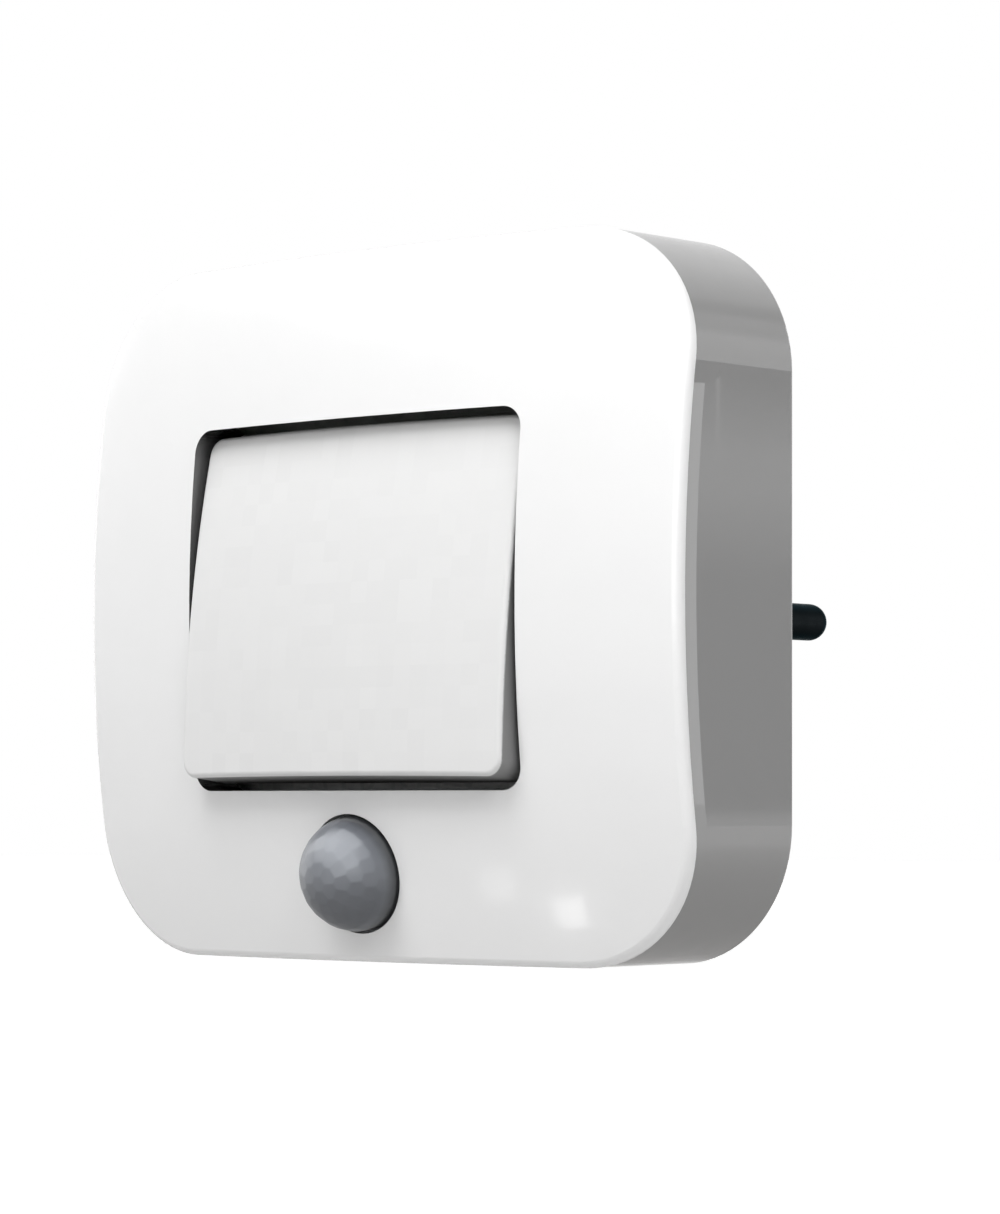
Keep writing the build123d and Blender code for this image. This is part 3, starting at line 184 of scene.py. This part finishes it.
class Surface:
    """A material with one principled shader and helpers for its procedural detail."""

    def __init__(self, name, **settings):
        self.material = bpy.data.materials.new(name)
        self.material.use_nodes = True
        self.tree = self.material.node_tree
        self.shader = self.tree.nodes["Principled BSDF"]
        coordinates = self.add("ShaderNodeTexCoord").outputs
        self.place = coordinates["Object"]
        self.normal = self.parts(coordinates["Normal"])
        for label, value in settings.items():
            self.shader.inputs[label.replace("_", " ")].default_value = value

    def add(self, kind, **settings):
        """A new node with its own settings."""
        node = self.tree.nodes.new(kind)
        for label, value in settings.items():
            setattr(node, label, value)
        return node

    def link(self, output, socket):
        self.tree.links.new(output, socket)

    def parts(self, vector):
        """The X, Y and Z of a vector."""
        node = self.add("ShaderNodeSeparateXYZ")
        self.link(vector, node.inputs[0])
        return node.outputs

    def stretched(self, scale):
        """The object's coordinates, scaled by axis."""
        mapping = self.add("ShaderNodeMapping")
        mapping.inputs["Scale"].default_value = scale
        self.link(self.place, mapping.inputs["Vector"])
        return mapping.outputs["Vector"]

    def noise(self, scale, detail=3.0):
        """Cloudy noise, from 0 to 1, with scale cells to the metre."""
        node = self.add("ShaderNodeTexNoise")
        node.inputs["Scale"].default_value = scale
        node.inputs["Detail"].default_value = detail
        self.link(self.place, node.inputs["Vector"])
        return node.outputs["Fac"]

    def borders(self, scale, stretch):
        """The distance to the nearest border between scattered cells."""
        node = self.add("ShaderNodeTexVoronoi", feature="DISTANCE_TO_EDGE")
        node.inputs["Scale"].default_value = scale
        self.link(self.stretched(stretch), node.inputs["Vector"])
        return node.outputs["Distance"]

    def bands(self, scale, axis="Y", distortion=0.4):
        """Fine parallel bands across an axis."""
        node = self.add("ShaderNodeTexWave", wave_type="BANDS", bands_direction=axis)
        node.inputs["Scale"].default_value = scale
        node.inputs["Distortion"].default_value = distortion
        node.inputs["Detail"].default_value = 2.0
        self.link(self.place, node.inputs["Vector"])
        return node.outputs["Fac"]

    def span(self, value, low, high, to_low, to_high):
        """The value's range from low to high, mapped to another range and held at its ends."""
        node = self.add("ShaderNodeMapRange")
        for label, number in zip(("From Min", "From Max", "To Min", "To Max"), (low, high, to_low, to_high)):
            node.inputs[label].default_value = number
        self.link(value, node.inputs["Value"])
        return node.outputs["Result"]

    def blend(self, value, first, second):
        """A colour between two others. Each may be a colour or another node's output."""
        node = self.add("ShaderNodeMix", data_type="RGBA")
        self.link(value, node.inputs["Factor"])
        for label, colour in ((6, first), (7, second)):
            if isinstance(colour, tuple):
                node.inputs[label].default_value = (*colour, 1.0)
            else:
                self.link(colour, node.inputs[label])
        return node.outputs[2]

    def colour(self, value, first, second):
        """The surface's colour, between two others."""
        self.link(self.blend(value, first, second), self.shader.inputs["Base Color"])

    def roughness(self, value, low, high):
        """The surface's roughness, from low to high over the middle range of a noise."""
        self.link(self.span(value, 0.3, 0.7, low, high), self.shader.inputs["Roughness"])

    def bump(self, value, height):
        """A relief of that height in metres, on top of any relief set before."""
        node = self.add("ShaderNodeBump")
        node.inputs["Distance"].default_value = height
        self.link(value, node.inputs["Height"])
        socket = self.shader.inputs["Normal"]
        if socket.is_linked:
            self.link(socket.links[0].from_socket, node.inputs["Normal"])
        self.link(node.outputs["Normal"], socket)


def shade(colour, factor):
    return tuple(min(1.0, part * factor) for part in colour)


def plastic(name, colour, roughness, spread=0.04, grain=0.004 * MM, **settings):
    """Moulded plastic: cloudy flow marks in its colour, uneven gloss and a fine grain."""
    surface = Surface(name, **settings)
    flow = surface.span(surface.noise(38, detail=4.0), 0.35, 0.65, 0.0, 1.0)
    surface.colour(flow, shade(colour, 1 - spread), shade(colour, 1 + spread))
    surface.roughness(surface.noise(150, detail=5.0), roughness * 0.85, roughness * 1.15)
    surface.bump(surface.noise(2600, detail=2.0), grain)
    return surface


def metal(name, colour, roughness, bands=4000, axis="Y"):
    """Drawn or turned metal: fine bands and a slightly uneven tarnish."""
    surface = Surface(name, Metallic=1.0)
    tarnish = surface.noise(420, detail=6.0)
    surface.colour(surface.span(tarnish, 0.35, 0.7, 0.0, 1.0), shade(colour, 1.06), shade(colour, 0.86))
    surface.roughness(surface.noise(900, detail=4.0), roughness * 0.75, roughness * 1.3)
    surface.bump(surface.bands(bands, axis), 0.0012 * MM)
    return surface


def grey_shell():
    """The housing: grey, with a clear polished gloss over a faint moulding grain."""
    surface = plastic("grey_shell", (0.249, 0.248, 0.247), 0.45, spread=0.012, Specular_IOR_Level=0.2)
    surface.shader.inputs["Coat Weight"].default_value = 1.0
    surface.shader.inputs["Coat IOR"].default_value = 1.9
    surface.shader.inputs["Coat Roughness"].default_value = 0.015
    return surface


def white_cover():
    """The cover: high gloss white with a long, faint ripple, and painted shade in grey on the window's inner
    walls, darker on the level ones.
    """
    surface = plastic("white_cover", (0.83, 0.83, 0.83), 0.16, spread=0.012, grain=0.0006 * MM)
    surface.shader.inputs["Coat Weight"].default_value = 0.6
    surface.shader.inputs["Coat Roughness"].default_value = 0.06
    surface.bump(surface.noise(45, detail=1.0), 0.02 * MM)
    tree = surface.tree
    place = surface.parts(surface.place)
    across = arithmetic(tree, "LESS_THAN", arithmetic(tree, "ABSOLUTE", place["X"]), WINDOW_HALF_WIDTH)
    upright = arithmetic(tree, "LESS_THAN", arithmetic(tree, "ABSOLUTE", place["Z"]), WINDOW_HALF_HEIGHT)
    inwards = surface.span(surface.normal["Y"], -0.35, -0.15, 0.0, 1.0)
    level = arithmetic(tree, "ABSOLUTE", surface.normal["Z"])
    # Painted shade: the window's inner walls turn grey, the level ones darker, for the shade in the recess.
    wall = surface.blend(surface.span(level, 0.3, 0.8, 0.0, 1.0), UPRIGHT_WALL_SHADE, LEVEL_WALL_SHADE)
    inside = arithmetic(tree, "MULTIPLY", arithmetic(tree, "MULTIPLY", across, upright), inwards)
    white = surface.shader.inputs["Base Color"].links[0].from_socket
    surface.colour(inside, white, wall)
    return surface


def frosted_white():
    """The diffuser: satin, its face in faint squares from the prisms behind, its skirt painted grey as shade.
    """
    surface = Surface("frosted_white", Specular_IOR_Level=0.5)
    square = surface.add("ShaderNodeVectorMath", operation="SNAP")
    square.inputs[1].default_value = (PRISM_SIZE, 1.0, PRISM_SIZE)
    surface.link(surface.place, square.inputs[0])
    chance = surface.add("ShaderNodeTexWhiteNoise")
    surface.link(square.outputs[0], chance.inputs["Vector"])
    face = surface.blend(chance.outputs["Value"], (0.690, 0.690, 0.688), (0.714, 0.714, 0.712))
    cloud = surface.noise(60, detail=4.0)
    face = surface.blend(surface.span(cloud, 0.35, 0.65, 0.0, 0.5), face, (0.702, 0.702, 0.700))
    # Painted shade: the diffuser's skirt, found by its normals, turns grey for the shade in the gap around
    # it.
    skirt_shade_mask = surface.span(surface.normal["Y"], -0.35, -0.12, 0.0, 1.0)
    surface.colour(skirt_shade_mask, face, SKIRT_SHADE_AND_FRAME_GREY)
    surface.roughness(surface.noise(700, detail=5.0), 0.40, 0.52)
    surface.bump(surface.noise(3500, detail=3.0), 0.004 * MM)
    return surface


def lens_plastic():
    """The smoked, milky lens, with painted shade that turns it almost black in a ring around its foot."""
    surface = Surface("lens_plastic", Specular_IOR_Level=1.0, IOR=1.7)
    surface.shader.inputs["Specular Tint"].default_value = (0.92, 0.96, 1.0, 1.0)
    surface.shader.inputs["Coat Weight"].default_value = 0.3
    surface.shader.inputs["Coat Roughness"].default_value = 0.12
    height = surface.add("ShaderNodeVectorMath", operation="DOT_PRODUCT")
    height.inputs[1].default_value = LENS_OUTWARDS
    surface.link(surface.place, height.inputs[0])
    foot = DOME_MIDDLE.dot(LENS_OUTWARDS) + LENS_SINK
    # Painted shade: the lens goes almost black near its foot, for the shade where it meets the cover.
    ring = surface.span(height.outputs["Value"], foot + FOOT_SHADE_START, foot + FOOT_SHADE_END, 1.0, 0.0)
    cloud = surface.span(surface.noise(500, detail=5.0), 0.3, 0.7, 0.0, 1.0)
    milky = surface.blend(cloud, (0.062, 0.067, 0.079), (0.076, 0.081, 0.094))
    surface.colour(ring, milky, (0.006, 0.006, 0.007))
    surface.roughness(surface.noise(900, detail=3.0), 0.42, 0.48)
    surface.bump(surface.noise(700, detail=1.0), 0.002 * MM)
    return surface


def pin_metal():
    """The pins: dark plated, with turning marks."""
    surface = metal("pin_metal", (0.0165, 0.0185, 0.0200), 0.34, bands=3000)
    surface.shader.inputs["Specular Tint"].default_value = (0.45, 0.50, 0.52, 1.0)
    return surface


def board(name, mask, trace):
    """A circuit board: solder mask over faint tracks, with the glass weave's relief."""
    surface = Surface(name, Specular_IOR_Level=0.5)
    tracks = surface.borders(330, stretch=(1.0, 0.0, 1.0))
    surface.colour(surface.span(tracks, 0.05, 0.09, 1.0, 0.0), mask, trace)
    surface.roughness(surface.noise(600), 0.28, 0.42)
    surface.bump(surface.bands(1500, "X", 0.0), 0.003 * MM)
    surface.bump(surface.bands(1500, "Z", 0.0), 0.003 * MM)
    surface.bump(surface.span(tracks, 0.05, 0.09, 1.0, 0.0), 0.02 * MM)
    return surface


def phosphor():
    """A white package with phosphor in its dish."""
    surface = Surface("emitter_phosphor")
    surface.colour(surface.noise(2200, detail=6.0), (0.86, 0.78, 0.34), (0.92, 0.90, 0.74))
    surface.roughness(surface.noise(900), 0.35, 0.6)
    surface.bump(surface.noise(5000), 0.006 * MM)
    return surface


def dark_filter():
    """The infrared filter, almost black, with a faint coating tint."""
    surface = Surface("sensor_filter", IOR=1.9)
    surface.colour(surface.noise(700), (0.020, 0.022, 0.030), (0.032, 0.028, 0.040))
    surface.roughness(surface.noise(1300), 0.05, 0.14)
    surface.bump(surface.noise(300), 0.002 * MM)
    return surface


SURFACES = {
    "grey_shell": grey_shell,
    "white_cover": white_cover,
    "frosted_white": frosted_white,
    "grey_frame": lambda: plastic("grey_frame", SKIRT_SHADE_AND_FRAME_GREY, 0.45),
    "lens_plastic": lens_plastic,
    "black_sleeve": lambda: plastic("black_sleeve", (0.022, 0.022, 0.024), 0.42, spread=0.2),
    "pin_metal": pin_metal,
    "contact_brass": lambda: metal("contact_brass", (0.72, 0.53, 0.25), 0.30, bands=2500, axis="X"),
    "contact_silver": lambda: metal("contact_silver", (0.78, 0.77, 0.73), 0.22, bands=2500, axis="X"),
    "clamp_plastic": lambda: plastic("clamp_plastic", (0.74, 0.73, 0.69), 0.42),
    "switch_plastic": lambda: plastic("switch_plastic", (0.030, 0.030, 0.033), 0.40, spread=0.15),
    "board_green": lambda: board("board_green", (0.020, 0.115, 0.048), (0.035, 0.170, 0.070)),
    "board_white": lambda: board("board_white", (0.78, 0.79, 0.78), (0.70, 0.72, 0.71)),
    "screw_steel": lambda: metal("screw_steel", (0.56, 0.56, 0.58), 0.32),
    "spring_steel": lambda: metal("spring_steel", (0.50, 0.50, 0.52), 0.28, bands=6000),
    "film_yellow": lambda: plastic("film_yellow", (0.62, 0.40, 0.035), 0.25, spread=0.06),
    "can_sleeve": lambda: plastic("can_sleeve", (0.012, 0.020, 0.075), 0.20, spread=0.15),
    "epoxy_black": lambda: plastic("epoxy_black", (0.022, 0.022, 0.023), 0.50, spread=0.2, grain=0.01 * MM),
    "resistor_blue": lambda: plastic("resistor_blue", (0.12, 0.32, 0.48), 0.28, spread=0.08),
    "varistor_blue": lambda: plastic("varistor_blue", (0.018, 0.060, 0.280), 0.30, spread=0.1),
    "emitter_phosphor": phosphor,
    "sensor_clear": lambda: plastic("sensor_clear", (0.30, 0.060, 0.030), 0.12, spread=0.1),
    "tray_white": lambda: plastic("tray_white", (0.84, 0.84, 0.83), 0.38),
    "sensor_can": lambda: metal("sensor_can", (0.62, 0.60, 0.52), 0.20, bands=3500),
    "sensor_filter": dark_filter,
    "spacer_plastic": lambda: plastic("spacer_plastic", (0.80, 0.80, 0.77), 0.45),
}
materials = {slot: build().material for slot, build in SURFACES.items()}


def dress_nodes():
    """Gives every CAD node its slot's material."""
    for row in frame["record"]["subparts"]:
        node = frame["nodes"][row["node"]]
        node.data.materials.clear()
        node.data.materials.append(materials[row["material_slot"]])


def piece(name, mesh, slot, body):
    """A new piece with its slot's material, riding on a body."""
    item = bpy.data.objects.new(name, mesh)
    bpy.context.scene.collection.objects.link(item)
    mesh.materials.append(materials[slot])
    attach(item, body)
    return item


# The lens


def dome_matrix():
    """From the lens's own axes, with Z outwards from the middle of its ball, to the frame."""
    right = Vector((1.0, 0.0, 0.0))
    matrix = Matrix((right, LENS_OUTWARDS.cross(right), LENS_OUTWARDS)).transposed().to_4x4()
    matrix.translation = DOME_MIDDLE
    return matrix


def ring_of(shape, radius, height):
    """A ring of vertices about Z."""
    angles = [2 * math.pi * step / DOME_STEPS for step in range(DOME_STEPS)]
    return [shape.verts.new((radius * math.cos(angle), radius * math.sin(angle), height)) for angle in angles]


def bridge(shape, first, second):
    """Faces between two rings, facing outwards where the second is the nearer to the crown."""
    for step in range(len(first)):
        after = (step + 1) % len(first)
        shape.faces.new((first[step], first[after], second[after], second[step]))


def facet_normals():
    """The directions of the flat facets, in rings around the crown."""
    normals = [Vector((0.0, 0.0, 1.0))]
    for ring in range(1, FACET_RINGS + 1):
        polar = ring * FACET_ANGLE
        count = round(2 * math.pi * math.sin(polar) / FACET_ANGLE)
        for step in range(count):
            around = 2 * math.pi * (step + 0.5 * ring) / count
            side = math.sin(polar)
            normals.append(Vector((side * math.cos(around), side * math.sin(around), math.cos(polar))))
    return normals


def lens_dome():
    """The lens with its facets, in place of the plain one."""
    shape = bmesh.new()
    facets = facet_normals()
    crown = shape.verts.new((0.0, 0.0, LENS_RADIUS + FACET_SHARE * (FACET_DISTANCE - LENS_RADIUS)))
    rings = []
    for level in range(1, DOME_LEVELS + 1):
        polar = math.radians(90 * level / DOME_LEVELS)
        ring = ring_of(shape, math.sin(polar), math.cos(polar))
        for vertex in ring:
            flat = min(LENS_RADIUS, FACET_DISTANCE / max(map(vertex.co.dot, facets)))
            vertex.co *= LENS_RADIUS + FACET_SHARE * (flat - LENS_RADIUS)
        rings.append(ring)
    for step in range(DOME_STEPS):
        shape.faces.new((rings[0][step], rings[0][(step + 1) % DOME_STEPS], crown))
    # The wall, the flange with its two flats, the open rear and the plain inside
    rings.append(ring_of(shape, LENS_RADIUS, LENS_SINK - FLANGE_FRONT))
    for height in (LENS_SINK - FLANGE_FRONT, LENS_SINK - FLANGE_REAR):
        flange = ring_of(shape, FLANGE_RADIUS, height)
        for vertex in flange:
            vertex.co.y = max(FLANGE_BOTTOM, min(FLANGE_TOP, vertex.co.y))
        rings.append(flange)
    inside = LENS_RADIUS - LENS_WALL
    rings.append(ring_of(shape, inside, LENS_SINK - FLANGE_REAR))
    for level in range(DOME_LEVELS, 0, -1):
        polar = math.radians(90 * level / DOME_LEVELS)
        rings.append(ring_of(shape, inside * math.sin(polar), inside * math.cos(polar)))
    for nearer, farther in zip(rings, rings[1:]):
        bridge(shape, farther, nearer)
    pole = shape.verts.new((0.0, 0.0, inside))
    for step in range(DOME_STEPS):
        shape.faces.new((rings[-1][(step + 1) % DOME_STEPS], rings[-1][step], pole))
    shape.transform(dome_matrix())
    mesh = bpy.data.meshes.new("lens_dome")
    shape.to_mesh(mesh)
    shape.free()
    mesh.shade_smooth()
    mesh.set_sharp_from_angle(angle=SHARP_ANGLE)
    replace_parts(piece("lens_dome", mesh, "lens_plastic", "base"), "pir_lens")


# Small pieces inside


def emitter_phosphors():
    """The domed filling of each emitter's dish."""
    node = frame["nodes"]["light_emitters"].data
    floor_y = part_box("light_emitters")[0].y + DISH_DEPTH
    dish = [vertex.co for vertex in node.vertices if abs(vertex.co.y - floor_y) < HAIR]
    centres = []
    for place in dish:
        near = [centre for centre in centres if (centre[0] - place).length < DISH_REACH]
        if near:
            near[0].append(place)
        else:
            centres.append([place])
    shape = bmesh.new()
    for group in centres:
        middle = sum(group, Vector()) / len(group)
        rings = []
        for level in range(FILL_LEVELS):
            polar = math.radians(90 * level / FILL_LEVELS)
            radius = FILL_RADIUS * math.cos(polar)
            rise = FILL_RISE * math.sin(polar)
            ring = []
            for step in range(FILL_STEPS):
                angle = 2 * math.pi * step / FILL_STEPS
                offset = Vector((radius * math.cos(angle), -rise - HAIR, radius * math.sin(angle)))
                ring.append(shape.verts.new(middle + offset))
            rings.append(ring)
        for first, second in zip(rings, rings[1:]):
            bridge(shape, first, second)
        shape.faces.new(rings[-1])
        shape.faces.new(rings[0][::-1])
    mesh = bpy.data.meshes.new("emitter_phosphors")
    shape.to_mesh(mesh)
    shape.free()
    mesh.shade_smooth()
    piece("emitter_phosphors", mesh, "emitter_phosphor", "base")


dress_nodes()
lens_dome()
emitter_phosphors()


# The stage


def area_light(name, azimuth, elevation, size, energy, distance=LAMP_DISTANCE, mirrored=False):
    """A lamp aimed at the light, azimuth 0 in front and 90 on the right. Mirrored ones show in gloss."""
    lamp = bpy.data.lights.new(name, "AREA")
    lamp.shape = "RECTANGLE"
    lamp.size, lamp.size_y = size
    lamp.energy = energy
    turn, rise = math.radians(azimuth), math.radians(elevation)
    away = Vector((math.sin(turn) * math.cos(rise), -math.cos(turn) * math.cos(rise), math.sin(rise)))
    item = bpy.data.objects.new(name, lamp)
    item.location = LAMP_TARGET + distance * away
    item.rotation_euler = away.to_track_quat("Z", "Y").to_euler()
    item.visible_camera = False
    item.visible_glossy = mirrored
    bpy.context.scene.collection.objects.link(item)


def levels(tree, angle, stops):
    """Grey levels along an angle, held at both ends."""
    low, high = stops[0][0], stops[-1][0]
    ramp = tree.nodes.new("ShaderNodeValToRGB")
    elements = ramp.color_ramp.elements
    for turn, level in stops[1:-1]:
        elements.new((turn - low) / (high - low))
    for element, (turn, level) in zip(elements, stops):
        element.color = (level, level, level, 1.0)
    share = arithmetic(tree, "MULTIPLY_ADD", angle, 1 / (high - low), -low / (high - low))
    tree.links.new(share, ramp.inputs["Fac"])
    return ramp.outputs["Color"]


def world():
    """White for the camera, grey for soft light, and a studio for glossy surfaces to mirror."""
    item = bpy.data.worlds.new("studio")
    item.use_nodes = True
    tree = item.node_tree
    rays = tree.nodes.new("ShaderNodeLightPath").outputs
    direction = tree.nodes.new("ShaderNodeSeparateXYZ")
    tree.links.new(tree.nodes.new("ShaderNodeTexCoord").outputs["Generated"], direction.inputs[0])
    across, along, upwards = direction.outputs
    roll = arithmetic(tree, "DEGREES", arithmetic(tree, "ARCTAN2", upwards, across))
    ahead = arithmetic(tree, "MULTIPLY", along, -1.0)
    turn = arithmetic(tree, "DEGREES", arithmetic(tree, "ARCTAN2", across, ahead))
    rise = arithmetic(tree, "DEGREES", arithmetic(tree, "ARCSINE", upwards))
    corner = arithmetic(tree, "GREATER_THAN", roll, CORNER_START)
    flat = arithmetic(tree, "SUBTRACT", 1.0, corner)
    side = arithmetic(tree, "MULTIPLY", levels(tree, roll, SIDE_LEVELS), flat)
    level = arithmetic(tree, "MULTIPLY_ADD", levels(tree, roll, CORNER_LEVELS), corner, side)
    level = arithmetic(tree, "MAXIMUM", level, arithmetic(tree, "GREATER_THAN", ahead, FRONT_END))
    for turned, raised, strength in PANELS:
        panel = arithmetic(tree, "COMPARE", turn, *turned)
        panel = arithmetic(tree, "MULTIPLY", panel, arithmetic(tree, "COMPARE", rise, *raised))
        level = arithmetic(tree, "MAXIMUM", level, arithmetic(tree, "MULTIPLY", panel, strength))
    mirrored = arithmetic(tree, "MULTIPLY", level, rays["Is Glossy Ray"])
    seen = arithmetic(tree, "MAXIMUM", rays["Is Camera Ray"], rays["Is Transmission Ray"])
    bright = arithmetic(tree, "MAXIMUM", mirrored, seen)
    background = tree.nodes["Background"].inputs
    tree.links.new(arithmetic(tree, "MAXIMUM", bright, AMBIENT), background["Strength"])
    background["Color"].default_value = (1.0, 1.0, 1.0, 1.0)
    bpy.context.scene.world = item


def floor():
    """A pale floor below the light. It keeps the shadow and looks white around it."""
    low = cad_box[0][2] - FLOOR_DROP
    mesh = bpy.data.meshes.new("floor")
    half = FLOOR_SIZE / 2
    corners = [(-half, -half, low), (half, -half, low), (half, half, low), (-half, half, low)]
    mesh.from_pydata(corners, [], [(0, 1, 2, 3)])
    item = bpy.data.objects.new("floor", mesh)
    bpy.context.scene.collection.objects.link(item)
    surface = Surface("floor", Roughness=0.9)
    rays = surface.add("ShaderNodeLightPath").outputs
    pale = surface.blend(surface.noise(3.0), (0.80, 0.80, 0.80), (0.82, 0.82, 0.82))
    surface.colour(rays["Is Glossy Ray"], pale, (0.42, 0.41, 0.40))
    surface.shader.inputs["Emission Color"].default_value = (1.0, 1.0, 1.0, 1.0)
    distance = surface.add("ShaderNodeVectorMath", operation="LENGTH")
    surface.link(surface.place, distance.inputs[0])
    far = surface.span(distance.outputs["Value"], FAR_FROM, FAR_TO, 0.0, FAR_GLOW)
    far = arithmetic(surface.tree, "MULTIPLY", far, rays["Is Glossy Ray"])
    seen = arithmetic(surface.tree, "MAXIMUM", rays["Is Camera Ray"], rays["Is Transmission Ray"])
    near = arithmetic(surface.tree, "MULTIPLY", seen, FLOOR_GLOW)
    glow = arithmetic(surface.tree, "MAXIMUM", near, far)
    surface.link(glow, surface.shader.inputs["Emission Strength"])
    mesh.materials.append(surface.material)


def camera():
    """The camera at the photograph's angle, level, with its view shifted as the photograph's is."""
    data = bpy.data.cameras.new("camera")
    data.sensor_fit = "HORIZONTAL"
    data.sensor_width = SENSOR_WIDTH
    data.lens = FOCAL_PIXELS * SENSOR_WIDTH / PICTURE_WIDTH
    data.shift_x = (PICTURE_WIDTH / 2 - AXIS_COLUMN) / PICTURE_WIDTH
    data.shift_y = (AXIS_ROW - PICTURE_HEIGHT / 2) / PICTURE_WIDTH
    data.clip_start = 0.01
    item = bpy.data.objects.new("camera", data)
    item.location = CAMERA_PLACE
    item.rotation_euler = (math.radians(90), 0.0, math.radians(CAMERA_AZIMUTH))
    bpy.context.scene.collection.objects.link(item)
    bpy.context.scene.camera = item


def lamps():
    """Soft boxes above, in front and on the right, and two small ones for the glints low on the cover."""
    area_light("top", 0, 67, (0.9, 0.9), 16.0)
    area_light("front_left", -20, 40, (0.6, 0.6), 3.4)
    area_light("front_low", -20, 8, (0.6, 0.6), 1.45)
    area_light("front_right", 60, 35, (0.18, 0.18), 0.54, 0.4)
    area_light("right", 100, 8, (0.6, 0.6), 3.95)
    area_light("glint", -23.8, -24.0, (0.022, 0.022), 0.0075, 0.487, mirrored=True)
    area_light("faint_glint", -30.0, -20.9, (0.022, 0.022), 0.0028, 0.487, mirrored=True)


world()
floor()
camera()
lamps()
bpy.context.scene.view_settings.view_transform = "Standard"
